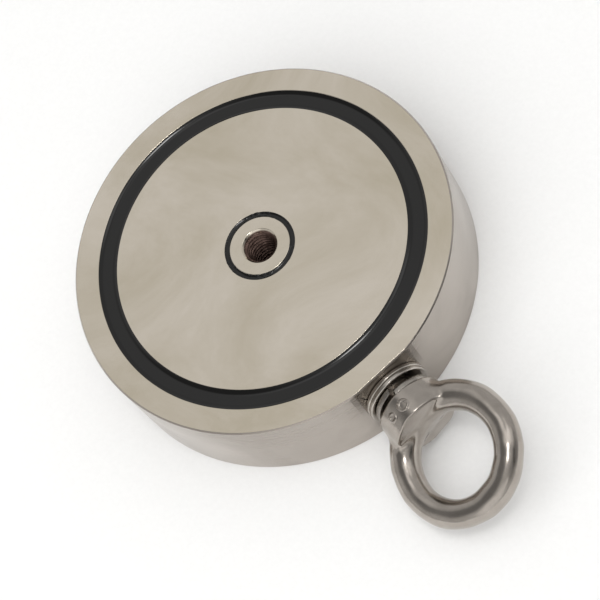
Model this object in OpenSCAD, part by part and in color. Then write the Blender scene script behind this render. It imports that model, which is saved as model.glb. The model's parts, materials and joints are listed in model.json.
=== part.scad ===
// Double-sided fishing magnet with a side-mounted lifting eye bolt.
// Origin: centre of the round casing, on the axis of the threaded centre hole.
// +Z is the casing's axis, towards the front face. +X is the eye bolt's axis, outwards.
// All sizes are in millimetres.

/* [Casing] */
// Outer diameter of the steel casing
case_d = 116; // [112:1:120]
// Thickness of the casing, from front face to rear face
case_t = 28; // [27:0.5:32]
// Width of the outer rim, which is the outer pole on both faces
rim_w = 7.6; // [6.5:0.1:9]
// Depth of the round pocket in each face
pocket_h = 6.5; // [6:0.1:6.5]
// Edge chamfer on the rim
case_chamfer = 0.5; // [0.2:0.1:0.8]
// Depth of the flat that is milled for the eye bolt's washers
seat_depth = 0.9; // [0.5:0.1:1.5]

/* [Centre bush] */
// Outer diameter of the threaded bush
bush_d = 18.5; // [17:0.5:20]
// Minor diameter of its M10 thread
bush_hole_d = 8.5; // [8.3:0.1:8.7]
// Diameter of the countersink at each end
countersink_d = 11; // [10:0.5:12]

/* [Magnets and pole plates] */
// Outer diameter of each pole plate
plate_d = 89.2; // [86:0.2:90]
// Thickness of each pole plate
plate_t = 2.5; // [2:0.1:3]
// Hole in each pole plate, which clears the bush
plate_hole_d = 21.6; // [21:0.2:24]
// Outer diameter of each ring magnet
magnet_d = 86; // [80:1:86]
// Hole in each ring magnet
magnet_hole_d = 25; // [24.5:0.5:30]
// Thickness of each adhesive film
bond_t = 0.2; // [0.1:0.1:0.3]

/* [Epoxy] */
// How far the outer epoxy ring lies below the face
epoxy_sink = 0.5; // [0.2:0.1:1]
// How far the epoxy around the bush lies below the face
hub_epoxy_sink = 0.3; // [0.1:0.1:0.6]

/* [Eye bolt] */
// Height of the side hole above the middle of the casing's thickness
bolt_z = 1; // [0:0.1:1]
// Diameter over the M10 thread
shank_d = 9.9; // [9.82:0.02:9.94]
// Diameter of the side hole over its thread
side_hole_d = 10; // [9.96:0.02:10]
// Length of the threaded shank below the collar
shank_len = 19; // [17:1:21]
// Outer diameter of the collar
collar_d = 21; // [20:0.2:22]
// Height of the collar's straight wall
collar_h = 8.3; // [7.5:0.1:8.8]
// Height of the sloping neck above that wall
neck_h = 1.5; // [1:0.1:2]
// Height from the collar's base to the centre of the ring
ring_h = 21.45; // [21:0.05:22.6]
// Outer diameter of the ring
ring_d = 41; // [40:0.5:42]
// Thickness of the ring's stock
stock_d = 8.3; // [8:0.1:9]
// Turn of the ring's plane about the bolt axis, from the plane of the casing
ring_turn = 20.5; // [0:0.5:45]

/* [Washers] */
// Outer diameter of the two flat washers
flat_washer_d = 20.2; // [19.4:0.1:20.4]
// Hole in each flat washer
flat_washer_hole_d = 10.5; // [10.5:0.1:11]
// Thickness of each flat washer
flat_washer_t = 1.4; // [1:0.1:1.8]
// Outer diameter of the spring washer
spring_washer_d = 18.2; // [18:0.1:18.8]
// Hole in the spring washer
spring_washer_hole_d = 11; // [10.9:0.1:11.4]
// Thickness of the spring washer's wire
spring_washer_t = 2.1; // [1.9:0.1:2.4]
// How far the spring washer's two ends stand apart when it is hand tight
spring_lift = 1.75; // [0.8:0.05:1.9]
// Turn of the split about the bolt axis, from straight above
split_turn = 9; // [-60:1:60]

/* [Hidden] */
$fn = 96;

eps = 0.01;
case_r = case_d / 2;
face_z = case_t / 2;
pocket_r = case_r - rim_w;
floor_z = face_z - pocket_h;
seat_x = case_r - seat_depth;

// The stack in one pocket, from its floor outwards
magnet_z0 = floor_z + bond_t;
plate_z1 = face_z;
plate_z0 = plate_z1 - plate_t;
magnet_z1 = plate_z0 - bond_t;

// The stack on the eye bolt, from the milled seat outwards
joint_gap = 0.05;
spring_x = seat_x + 2 * flat_washer_t;
spring_height = spring_washer_t + spring_lift;
collar_x = spring_x + spring_height + joint_gap;
ring_x = collar_x + ring_h;
ring_mid_r = (ring_d - stock_d) / 2;
ring_hole_d = ring_d - 2 * stock_d;
thread_end_x = collar_x - shank_len;
drill_clearance = 1.5;
drill_point = 2.5;
shank_chamfer = 1.2;
split_gap = 1.1;
collar_chamfer = 0.5;
neck_top_d = 16.5;
steel = [0.70, 0.67, 0.62];
stainless = [0.56, 0.55, 0.53];
epoxy = [0.13, 0.12, 0.11];
magnet_plating = [0.62, 0.61, 0.60];
adhesive = [0.80, 0.76, 0.62];

// A flat ring between two heights
module flat_ring(outer_d, inner_d, z0, z1) {
    translate([0, 0, z0])
        difference() {
            cylinder(h = z1 - z0, d = outer_d);
            translate([0, 0, -1])
                cylinder(h = z1 - z0 + 2, d = inner_d);
        }
}

// Sets local +Z along the eye bolt, at a distance from the casing's axis
module on_bolt(x) {
    translate([x, 0, bolt_z])
        rotate([0, 90, 0])
            children();
}

// Turns a piece of the front face over to the rear face
module at_rear() {
    mirror([0, 0, 1])
        children();
}

module casing() {
    color(steel)
        difference() {
            rotate_extrude($fn = 180)
                polygon([
                    [bush_d / 2, -floor_z], [pocket_r, -floor_z],
                    [pocket_r, -face_z], [case_r - case_chamfer, -face_z],
                    [case_r, -face_z + case_chamfer], [case_r, face_z - case_chamfer],
                    [case_r - case_chamfer, face_z], [pocket_r, face_z],
                    [pocket_r, floor_z], [bush_d / 2, floor_z]
                ]);
            translate([seat_x, -case_r, -case_t])
                cube([case_d, case_d, case_t * 2]);
            on_bolt(thread_end_x - drill_clearance)
                cylinder(h = case_d, d = side_hole_d);
            on_bolt(thread_end_x - drill_clearance - drill_point)
                cylinder(h = drill_point + eps, d1 = 1, d2 = side_hole_d);
        }
}

module centre_bush() {
    sink = (countersink_d - bush_hole_d) / 2;
    color(steel)
        rotate_extrude()
            polygon([
                [bush_hole_d / 2, -face_z + sink], [countersink_d / 2, -face_z],
                [bush_d / 2, -face_z], [bush_d / 2, face_z],
                [countersink_d / 2, face_z], [bush_hole_d / 2, face_z - sink]
            ]);
}

module ring_magnet() {
    color(magnet_plating)
        flat_ring(magnet_d, magnet_hole_d, magnet_z0, magnet_z1);
}

module magnet_bond() {
    color(adhesive)
        flat_ring(magnet_d, magnet_hole_d, floor_z, magnet_z0);
}

module plate_bond() {
    color(adhesive)
        flat_ring(magnet_d, magnet_hole_d, magnet_z1, plate_z0);
}

module pole_plate() {
    color(steel)
        flat_ring(plate_d, plate_hole_d, plate_z0, plate_z1);
}

// Potting that fills the gap between the rim and the plate, and the space beside the magnet
module epoxy_ring() {
    color(epoxy)
        rotate_extrude($fn = 180)
            polygon([
                [magnet_d / 2, floor_z], [pocket_r, floor_z],
                [pocket_r, face_z - epoxy_sink], [plate_d / 2, face_z - epoxy_sink],
                [plate_d / 2, plate_z0], [magnet_d / 2, plate_z0]
            ]);
}

// Potting that fills the gap between the bush and the plate, and the space inside the magnet
module hub_epoxy() {
    color(epoxy)
        rotate_extrude()
            polygon([
                [bush_d / 2, floor_z], [magnet_hole_d / 2, floor_z],
                [magnet_hole_d / 2, plate_z0], [plate_hole_d / 2, plate_z0],
                [plate_hole_d / 2, face_z - hub_epoxy_sink], [bush_d / 2, face_z - hub_epoxy_sink]
            ]);
}

// One of the two flat washers, which are stacked outwards from the seat
module flat_washer(place) {
    color(stainless)
        on_bolt(seat_x + place * flat_washer_t)
            flat_ring(flat_washer_d, flat_washer_hole_d, 0, flat_washer_t);
}

// One half of the spring washer, on one side of its split. The raised half leans about
// the point opposite the split, so that its free end stands clear of the other one.
module spring_half(raised) {
    lean = raised ? atan(spring_lift / spring_washer_d) : 0;
    start_y = raised ? 0 : -spring_washer_d;
    translate([spring_washer_d / 2, 0, 0])
        rotate([0, lean, 0])
            translate([-spring_washer_d / 2, 0, 0])
                intersection() {
                    flat_ring(spring_washer_d, spring_washer_hole_d, 0, spring_washer_t);
                    translate([-spring_washer_d, start_y, -1])
                        cube([spring_washer_d * 2, spring_washer_d, spring_washer_t + 2]);
                }
}

module spring_washer() {
    color(stainless)
        on_bolt(spring_x)
            rotate([0, 0, split_turn])
                difference() {
                    union() {
                        spring_half(false);
                        spring_half(true);
                    }
                    translate([-spring_washer_d, -split_gap / 2, -1])
                        cube([spring_washer_d, split_gap, spring_height + 2]);
                }
}

// Sets local Z along the ring's own axis, at its centre
module at_ring() {
    translate([ring_x, 0, bolt_z])
        rotate([ring_turn, 0, 0])
            children();
}

module eye_bolt() {
    collar_z1 = shank_len + collar_h;
    neck_z1 = collar_z1 + neck_h;
    color(stainless)
        union() {
            difference() {
                on_bolt(thread_end_x)
                    rotate_extrude()
                        polygon([
                            [0, 0], [shank_d / 2 - shank_chamfer, 0],
                            [shank_d / 2, shank_chamfer], [shank_d / 2, shank_len],
                            [collar_d / 2 - collar_chamfer, shank_len],
                            [collar_d / 2, shank_len + collar_chamfer],
                            [collar_d / 2, collar_z1], [neck_top_d / 2, neck_z1], [0, neck_z1]
                        ]);
                at_ring()
                    cylinder(h = collar_d * 2, d = ring_hole_d, center = true, $fn = 128);
            }
            at_ring()
                rotate_extrude($fn = 128)
                    translate([ring_mid_r, 0])
                        circle(d = stock_d, $fn = 48);
        }
}

casing();
centre_bush();
ring_magnet();  // front_magnet
magnet_bond();  // front_magnet_bond
pole_plate();  // front_pole_plate
plate_bond();  // front_plate_bond
epoxy_ring();  // front_epoxy_ring
hub_epoxy();  // front_hub_epoxy
at_rear() ring_magnet();  // rear_magnet
at_rear() magnet_bond();  // rear_magnet_bond
at_rear() pole_plate();  // rear_pole_plate
at_rear() plate_bond();  // rear_plate_bond
at_rear() epoxy_ring();  // rear_epoxy_ring
at_rear() hub_epoxy();  // rear_hub_epoxy
flat_washer(0);  // inner_washer
flat_washer(1);  // outer_washer
spring_washer();
eye_bolt();
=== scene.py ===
"""Looks of a double-sided fishing magnet with a lifting eye bolt in its side.

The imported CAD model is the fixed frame. Each sub-assembly is a class that takes its sizes from
that frame, builds its meshes and dresses them. Lengths are in metres and angles in radians,
unless a name says otherwise. +Z is the casing's axis and +X the eye bolt's.
"""

import json
import logging
import math
from dataclasses import dataclass, field
from enum import Enum
from typing import Callable, Sequence

import bpy
import numpy as np
from mathutils import Matrix, Vector


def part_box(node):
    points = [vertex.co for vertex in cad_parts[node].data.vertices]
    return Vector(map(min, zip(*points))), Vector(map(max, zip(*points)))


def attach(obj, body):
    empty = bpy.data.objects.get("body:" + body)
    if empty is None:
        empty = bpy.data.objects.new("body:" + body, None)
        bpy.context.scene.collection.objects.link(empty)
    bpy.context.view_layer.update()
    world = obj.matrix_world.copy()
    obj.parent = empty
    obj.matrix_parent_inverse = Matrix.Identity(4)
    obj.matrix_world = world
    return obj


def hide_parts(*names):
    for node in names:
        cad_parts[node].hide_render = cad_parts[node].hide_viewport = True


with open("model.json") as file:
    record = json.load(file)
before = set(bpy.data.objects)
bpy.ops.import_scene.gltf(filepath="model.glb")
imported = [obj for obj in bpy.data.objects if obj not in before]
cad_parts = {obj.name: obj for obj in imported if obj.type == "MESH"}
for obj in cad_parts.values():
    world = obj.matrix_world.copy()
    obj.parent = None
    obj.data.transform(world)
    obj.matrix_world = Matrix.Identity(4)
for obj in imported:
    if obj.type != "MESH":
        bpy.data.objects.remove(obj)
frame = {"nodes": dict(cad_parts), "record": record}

LOG = logging.getLogger("fishing_magnet")
MM = 0.001
PLATE_HOLE = 10.8 * MM  # radius of the hole in a pole plate, which holds the epoxy round the bush
ROWS_PER_PITCH = 12  # rows of points that draw each turn of a thread
Colour = tuple[float, float, float]
Distance = Callable[[np.ndarray], np.ndarray]


class Face(Enum):
    """The casing's two faces, with the sign of each one's height."""

    FRONT = 1
    REAR = -1

    @property
    def prefix(self) -> str:
        """How the names of the nodes on this face begin."""
        return self.name.lower()

    def place(self) -> np.ndarray:
        """The turn that carries a front-face piece to this face."""
        return np.diag([1.0, float(self.value), float(self.value), 1.0])


class Body(Enum):
    """The bodies that the pieces ride on."""

    MAGNET = "magnet"
    WASHERS = "washers"
    EYE_BOLT = "eye_bolt"


class Slot(Enum):
    """The record's material slots."""

    CASING = "casing_nickel"
    PLATE = "plate_nickel"
    BUSH = "bush_nickel"
    MAGNET = "magnet_plating"
    EPOXY = "black_epoxy"
    FILM = "adhesive_film"
    WASHER = "washer_steel"
    BOLT = "bolt_stainless"


# ---------------------------------------------------------------- shaping tools


def node_box(node: str) -> tuple[np.ndarray, np.ndarray]:
    """Gives a CAD node's box at rest.

    Args:
        node: name of the CAD node.

    Returns:
        The box's lowest and highest corners.
    """
    low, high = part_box(node)
    return np.array(low, dtype=float), np.array(high, dtype=float)


def mount(name: str) -> dict:
    """Gives one of the record's mounts, by name."""
    return next(m for m in frame["record"]["mounts"] if m["name"] == name)


def smooth_min(a: np.ndarray, b: np.ndarray, blend: float) -> np.ndarray:
    """Joins two distance fields with a fillet.

    Args:
        a: first distance.
        b: second distance.
        blend: width of the fillet.

    Returns:
        The distance to the joined shape.
    """
    share = np.maximum(blend - np.abs(a - b), 0.0) / blend
    return np.minimum(a, b) - share * share * blend * 0.25


def smooth_max(a: np.ndarray, b: np.ndarray, blend: float) -> np.ndarray:
    """Keeps what two distance fields have in common, with a rounded edge.

    Args:
        a: first distance.
        b: second distance.
        blend: width of the rounding.

    Returns:
        The distance to the common shape.
    """
    return -smooth_min(-a, -b, blend)


def wander(angle: np.ndarray, seed: int, waves: Sequence[int]) -> np.ndarray:
    """Draws a smooth closed random curve around a circle.

    Args:
        angle: angles at which the curve is wanted.
        seed: seed of the random draws.
        waves: how many waves each term makes around the circle.

    Returns:
        The curve's value at each angle, about -1 to 1.
    """
    draw = np.random.default_rng(seed)
    total = np.zeros_like(angle)
    for count in waves:
        total = total + draw.uniform(0.5, 1.0) * np.sin(count * angle + draw.uniform(0, math.tau))
    return total / math.sqrt(len(waves) * 0.6)


@dataclass(frozen=True)
class Corner:
    """A corner of an outline in the radius-height plane, with its fillet."""

    radius: float
    height: float
    fillet: float = 0.0


class Profile:
    """A closed outline, drawn anticlockwise, with the normal at both ends of each side."""

    def __init__(self, corners: Sequence[Corner], steps: int = 5) -> None:
        """Rounds the corners and stores the sides.

        Args:
            corners: the outline's corners in order.
            steps: how many sides round off each fillet.
        """
        spots = [np.array([c.radius, c.height]) for c in corners]
        sides: list[tuple[np.ndarray, np.ndarray, np.ndarray]] = []
        arcs = [self._arc(spots, corners[i].fillet, i, steps) for i in range(len(spots))]
        for i, arc in enumerate(arcs):
            for (spot, normal), (_, following) in zip(arc[:-1], arc[1:]):
                sides.append((spot, normal, following))
            start, end = arc[-1][0], arcs[(i + 1) % len(arcs)][0][0]
            along = (end - start) / np.linalg.norm(end - start)
            flat = np.array([along[1], -along[0]])
            sides.append((start, flat, flat))
        self.points, self.starts, self.ends = (np.array(part) for part in zip(*sides))

    @staticmethod
    def _arc(
        spots: Sequence[np.ndarray], fillet: float, index: int, steps: int
    ) -> list[tuple[np.ndarray, np.ndarray]]:
        """Rounds one corner.

        Args:
            spots: all corners.
            fillet: radius of this corner's fillet.
            index: which corner to round.
            steps: how many sides the arc has.

        Returns:
            The arc's points with their normals, or the bare corner.
        """
        here = spots[index]
        before, after = spots[index - 1], spots[(index + 1) % len(spots)]
        arrive = (here - before) / np.linalg.norm(here - before)
        leave = (after - here) / np.linalg.norm(after - here)
        n_in = np.array([arrive[1], -arrive[0]])
        if fillet <= 0:
            return [(here, n_in)]
        turn = math.atan2(arrive[0] * leave[1] - arrive[1] * leave[0], float(arrive @ leave))
        side = math.copysign(1.0, turn)
        start = here - arrive * fillet * math.tan(abs(turn) / 2)
        centre = start - n_in * side * fillet
        arc = []
        for step in range(steps + 1):
            a = turn * step / steps
            normal = np.array([
                n_in[0] * math.cos(a) - n_in[1] * math.sin(a),
                n_in[0] * math.sin(a) + n_in[1] * math.cos(a),
            ])
            arc.append((centre + normal * side * fillet, normal))
        return arc


@dataclass
class Skin:
    """Points, faces and corner normals of one mesh, gathered part by part."""

    points: list[np.ndarray] = field(default_factory=list)
    faces: list[list[int]] = field(default_factory=list)
    normals: list[np.ndarray] = field(default_factory=list)

    @property
    def count(self) -> int:
        """Number of points so far."""
        return sum(len(p) for p in self.points)

    def add_points(self, points: np.ndarray) -> int:
        """Adds points.

        Args:
            points: the points.

        Returns:
            The index of the first.
        """
        first = self.count
        self.points.append(np.asarray(points, dtype=float).reshape(-1, 3))
        return first

    def add_face(self, corners: Sequence[int], normals: np.ndarray | None = None) -> None:
        """Adds one face.

        Args:
            corners: indices of its corners, anticlockwise from outside.
            normals: one normal for each corner, if the mesh has its own normals.
        """
        self.faces.append([int(c) for c in corners])
        if normals is not None:
            self.normals.append(np.asarray(normals, dtype=float).reshape(-1, 3))

    def add_grid(self, grid: np.ndarray, round_rows: bool, round_columns: bool) -> int:
        """Adds a grid of points and the quads between them.

        Args:
            grid: points as rows by columns by 3.
            round_rows: whether the last row joins the first.
            round_columns: whether the last column joins the first.

        Returns:
            The index of the grid's first point.
        """
        rows, columns = grid.shape[:2]
        first = self.add_points(grid)
        i, j = np.meshgrid(
            np.arange(rows if round_rows else rows - 1),
            np.arange(columns if round_columns else columns - 1),
            indexing="ij",
        )
        i2, j2 = (i + 1) % rows, (j + 1) % columns
        quads = np.stack(
            [i * columns + j, i * columns + j2, i2 * columns + j2, i2 * columns + j], axis=-1
        )
        self.faces.extend((quads.reshape(-1, 4) + first).tolist())
        return first

    def moved(self, place: np.ndarray) -> "Skin":
        """Gives a copy that has been turned and moved.

        Args:
            place: 4 by 4 matrix of a turn and a move.

        Returns:
            The moved copy.
        """
        turn, shift = place[:3, :3], place[:3, 3]
        return Skin(
            [p @ turn.T + shift for p in self.points],
            [list(f) for f in self.faces],
            [n @ turn.T for n in self.normals],
        )

    def to_piece(self, name: str, sharp_angle: float = math.radians(35)) -> bpy.types.Object:
        """Makes the Blender object.

        Args:
            name: the piece's name.
            sharp_angle: edges that bend more than this stay sharp. It isn't used where the
                skin has normals of its own.

        Returns:
            The object, linked to the scene.
        """
        mesh = bpy.data.meshes.new(name)
        mesh.from_pydata(np.vstack(self.points).tolist(), [], self.faces)
        mesh.polygons.foreach_set("use_smooth", np.ones(len(mesh.polygons), dtype=bool))
        if self.normals:
            mesh.normals_split_custom_set(np.vstack(self.normals).tolist())
        else:
            mesh.set_sharp_from_angle(angle=sharp_angle)
        mesh.update()
        piece = bpy.data.objects.new(name, mesh)
        bpy.context.scene.collection.objects.link(piece)
        return piece


@dataclass
class Lathe:
    """Turns a profile about the Z axis."""

    profile: Profile
    angles: np.ndarray

    @classmethod
    def even(cls, corners: Sequence[Corner], columns: int, steps: int = 5) -> "Lathe":
        """Sets up a lathe with evenly spaced columns.

        Args:
            corners: the profile's corners.
            columns: how many columns go around.
            steps: how many sides round off each fillet.

        Returns:
            The lathe.
        """
        return cls(Profile(corners, steps), np.arange(columns) * math.tau / columns)

    def radii(self) -> np.ndarray:
        """Radius of each profile point at each angle."""
        return np.repeat(self.profile.points[:, :1], len(self.angles), axis=1)

    def spokes(self, column: int) -> np.ndarray:
        """Directions of the normals at the two columns of the faces that start at a column."""
        pair = self.angles[[column, (column + 1) % len(self.angles)]]
        return np.stack([np.cos(pair), np.sin(pair)], axis=1)

    def keeps(self, row: int, column: int) -> bool:
        """Whether the face that starts at a row and column is made."""
        return True

    def turn(self) -> Skin:
        """Turns the profile.

        Returns:
            The turned skin, with exact normals.
        """
        skin = Skin()
        points = self.profile.points
        rows, columns = len(points), len(self.angles)
        r = self.radii()
        grid = np.stack(
            [
                r * np.cos(self.angles),
                r * np.sin(self.angles),
                np.repeat(points[:, 1:], columns, axis=1),
            ],
            axis=-1,
        )
        skin.add_points(grid)
        for j in range(columns):
            spokes, j2 = self.spokes(j), (j + 1) % columns
            for i in range(rows):
                if not self.keeps(i, j):
                    continue
                i2 = (i + 1) % rows
                start, end = self.profile.starts[i], self.profile.ends[i]
                normals = [
                    (*(spokes[0] * start[0]), start[1]),
                    (*(spokes[1] * start[0]), start[1]),
                    (*(spokes[1] * end[0]), end[1]),
                    (*(spokes[0] * end[0]), end[1]),
                ]
                corners = (i * columns + j, i * columns + j2, i2 * columns + j2, i2 * columns + j)
                skin.add_face(corners, np.array(normals))
        return skin


@dataclass
class SurfaceNet:
    """Meshes a shape that is given by its distance field."""

    distance: Distance
    low: np.ndarray
    high: np.ndarray
    step: float

    def mesh(self) -> Skin:
        """Meshes the shape.

        Returns:
            The skin, with normals from the field itself.
        """
        counts = np.ceil((self.high - self.low) / self.step).astype(int) + 1
        axes = [self.low[k] + self.step * np.arange(counts[k]) for k in range(3)]
        nodes = np.stack(np.meshgrid(*axes, indexing="ij"), axis=-1)
        values = self.distance(nodes)
        cells = tuple(counts - 1)
        total = np.zeros(cells + (3,))
        crossings = np.zeros(cells)
        for axis in range(3):
            near = [slice(None)] * 3
            far = [slice(None)] * 3
            near[axis], far[axis] = slice(0, -1), slice(1, None)
            a, b = values[tuple(near)], values[tuple(far)]
            cut = (a < 0) != (b < 0)
            share = np.where(cut, a / np.where(cut, a - b, 1.0), 0.0)
            spot = nodes[tuple(near)].copy()
            spot[..., axis] += share * self.step
            others = [k for k in range(3) if k != axis]
            for u in (0, 1):
                for v in (0, 1):
                    pick = [slice(None)] * 3
                    pick[others[0]] = slice(u, u + cells[others[0]])
                    pick[others[1]] = slice(v, v + cells[others[1]])
                    mask = cut[tuple(pick)]
                    total += spot[tuple(pick)] * mask[..., None]
                    crossings += mask
        active = crossings > 0
        index = np.full(cells, -1)
        index[active] = np.arange(int(active.sum()))
        points = self._settle(total[active] / crossings[active][:, None])
        normals = self._slope(points)
        normals /= np.linalg.norm(normals, axis=1)[:, None]
        quads = self._quads(values, index)
        return Skin([points], quads.tolist(), [normals[quads.reshape(-1)]])

    def _slope(self, points: np.ndarray) -> np.ndarray:
        """Finds the gradient of the field.

        Args:
            points: where it is wanted.

        Returns:
            The gradient at each point.
        """
        reach = self.step * 0.1
        slope = np.zeros_like(points)
        for k in range(3):
            shift = np.zeros(3)
            shift[k] = reach
            slope[:, k] = self.distance(points + shift) - self.distance(points - shift)
        return slope / (2 * reach)

    def _settle(self, points: np.ndarray) -> np.ndarray:
        """Moves points onto the surface by a few steps along the gradient.

        Args:
            points: points near the surface.

        Returns:
            The points on the surface.
        """
        for _ in range(4):
            slope = self._slope(points)
            size = np.maximum((slope * slope).sum(axis=1), 0.05)
            move = slope * (self.distance(points) / size)[:, None]
            points = points - np.clip(move, -self.step, self.step)
        return points

    @staticmethod
    def _quads(values: np.ndarray, index: np.ndarray) -> np.ndarray:
        """Finds the quad around every grid edge that the surface crosses.

        Args:
            values: the field at the grid's nodes.
            index: the point number of each cell, or -1.

        Returns:
            The quads' corners, anticlockwise from outside.
        """
        quads = []
        for axis in range(3):
            b, c = (axis + 1) % 3, (axis + 2) % 3
            inner = [slice(None)] * 3
            inner[b] = inner[c] = slice(1, -1)
            block = values[tuple(inner)]
            lower = [slice(None)] * 3
            upper = [slice(None)] * 3
            lower[axis], upper[axis] = slice(0, -1), slice(1, None)
            first, second = block[tuple(lower)] < 0, block[tuple(upper)] < 0
            ring = []
            for u, v in ((0, 0), (1, 0), (1, 1), (0, 1)):
                pick = [slice(None)] * 3
                pick[b] = slice(u, index.shape[b] - 1 + u)
                pick[c] = slice(v, index.shape[c] - 1 + v)
                ring.append(index[tuple(pick)])
            ring = np.stack(ring, axis=-1)
            quads.append(ring[first & ~second])
            quads.append(ring[~first & second][:, ::-1])
        return np.concatenate(quads)


# ---------------------------------------------------------------- finishes


class Mixed(Enum):
    """What a Mix node mixes: its data type, its first input and its output."""

    VALUE = ("FLOAT", 2, 0)
    VECTOR = ("VECTOR", 4, 1)
    COLOUR = ("RGBA", 6, 2)


class Desk:
    """Lays out the nodes of one material."""

    def __init__(self, name: str) -> None:
        """Starts an empty material.

        Args:
            name: its name.
        """
        self.material = bpy.data.materials.new(name)
        self.material.use_nodes = True
        self.tree = self.material.node_tree
        self.tree.nodes.clear()
        self.shader = self.tree.nodes.new("ShaderNodeBsdfPrincipled")
        out = self.tree.nodes.new("ShaderNodeOutputMaterial")
        self.join(self.shader.outputs[0], out.inputs[0])
        self.place = self.tree.nodes.new("ShaderNodeTexCoord").outputs["Object"]

    def join(self, a: bpy.types.NodeSocket, b: bpy.types.NodeSocket) -> None:
        """Links an output to an input."""
        self.tree.links.new(a, b)

    def feed(self, socket: bpy.types.NodeSocket, value: object) -> None:
        """Links a socket to another one, or sets it to a plain value.

        Args:
            socket: the input.
            value: an output, or a plain value.
        """
        if isinstance(value, bpy.types.NodeSocket):
            self.join(value, socket)
        else:
            socket.default_value = value

    def stretched(self, x: float, y: float, z: float) -> bpy.types.NodeSocket:
        """Scales the object coordinates.

        Args:
            x: scale along X.
            y: scale along Y.
            z: scale along Z.

        Returns:
            The scaled coordinates.
        """
        node = self.tree.nodes.new("ShaderNodeMapping")
        self.join(self.place, node.inputs["Vector"])
        node.inputs["Scale"].default_value = (x, y, z)
        return node.outputs[0]

    def noise(
        self,
        scale: float,
        detail: float = 2.0,
        rough: float = 0.5,
        twist: float = 0.0,
        at: bpy.types.NodeSocket | None = None,
    ) -> bpy.types.NodeSocket:
        """Adds a noise texture.

        Args:
            scale: cells in a metre.
            detail: octaves.
            rough: strength of the finer octaves.
            twist: distortion.
            at: coordinates, or None for object coordinates.

        Returns:
            The noise's value.
        """
        node = self.tree.nodes.new("ShaderNodeTexNoise")
        self.join(at or self.place, node.inputs["Vector"])
        node.inputs["Scale"].default_value = scale
        node.inputs["Detail"].default_value = detail
        node.inputs["Roughness"].default_value = rough
        node.inputs["Distortion"].default_value = twist
        return node.outputs[0]

    def spread(
        self, value: bpy.types.NodeSocket, low: float, high: float, start: float = 0.3,
        end: float = 0.7,
    ) -> bpy.types.NodeSocket:
        """Maps a value's middle range onto another range.

        Args:
            value: the value.
            low: result at the range's start.
            high: result at the range's end.
            start: where the range starts.
            end: where the range ends.

        Returns:
            The mapped value, held between low and high.
        """
        node = self.tree.nodes.new("ShaderNodeMapRange")
        for key, number in (("From Min", start), ("From Max", end), ("To Min", low), ("To Max", high)):
            node.inputs[key].default_value = number
        self.join(value, node.inputs["Value"])
        return node.outputs[0]

    def sum(self, kind: str, a: object, b: object) -> bpy.types.NodeSocket:
        """Adds a Math node.

        Args:
            kind: the node's operation.
            a: first value or socket.
            b: second value or socket.

        Returns:
            The result.
        """
        node = self.tree.nodes.new("ShaderNodeMath")
        node.operation = kind
        self.feed(node.inputs[0], a)
        self.feed(node.inputs[1], b)
        return node.outputs[0]

    def blend(
        self, share: bpy.types.NodeSocket, a: object, b: object, kind: Mixed = Mixed.COLOUR
    ) -> bpy.types.NodeSocket:
        """Mixes two colours, values or vectors.

        Args:
            share: 0 gives the first one, 1 the second.
            a: first colour or socket.
            b: second colour or socket.
            kind: what is mixed.

        Returns:
            The mixture.
        """
        data_type, first, out = kind.value
        node = self.tree.nodes.new("ShaderNodeMix")
        node.data_type = data_type
        self.join(share, node.inputs[0])
        for place, value in enumerate((a, b), start=first):
            self.feed(node.inputs[place], (*value, 1.0) if isinstance(value, tuple) else value)
        return node.outputs[out]

    def bump(
        self,
        height: bpy.types.NodeSocket,
        depth: float,
        strength: float,
        under: bpy.types.NodeSocket | None = None,
    ) -> bpy.types.NodeSocket:
        """Adds a bump.

        Args:
            height: the height, 0 to 1.
            depth: how deep a height of 1 is.
            strength: share of the bump that is kept.
            under: normal of a coarser bump to build on.

        Returns:
            The bumped normal.
        """
        node = self.tree.nodes.new("ShaderNodeBump")
        node.inputs["Distance"].default_value = depth
        node.inputs["Strength"].default_value = strength
        self.join(height, node.inputs["Height"])
        if under is not None:
            self.join(under, node.inputs["Normal"])
        return node.outputs[0]

    def radius(self) -> bpy.types.NodeSocket:
        """Measures how far a point is from the casing's axis.

        Returns:
            The distance.
        """
        flat = self.tree.nodes.new("ShaderNodeVectorMath")
        flat.operation = "MULTIPLY"
        self.join(self.place, flat.inputs[0])
        flat.inputs[1].default_value = (1.0, 1.0, 0.0)
        size = self.tree.nodes.new("ShaderNodeVectorMath")
        size.operation = "LENGTH"
        self.join(flat.outputs[0], size.inputs[0])
        return size.outputs["Value"]

    def part(self, axis: str) -> bpy.types.NodeSocket:
        """Takes one object coordinate.

        Args:
            axis: name of its axis.

        Returns:
            The coordinate.
        """
        node = self.tree.nodes.new("ShaderNodeSeparateXYZ")
        self.join(self.place, node.inputs[0])
        return node.outputs[axis]

    def set(self, **inputs: object) -> None:
        """Sets or links the shader's inputs, by name with spaces as underscores."""
        for key, value in inputs.items():
            self.feed(self.shader.inputs[key.replace("_", " ")], value)


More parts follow.
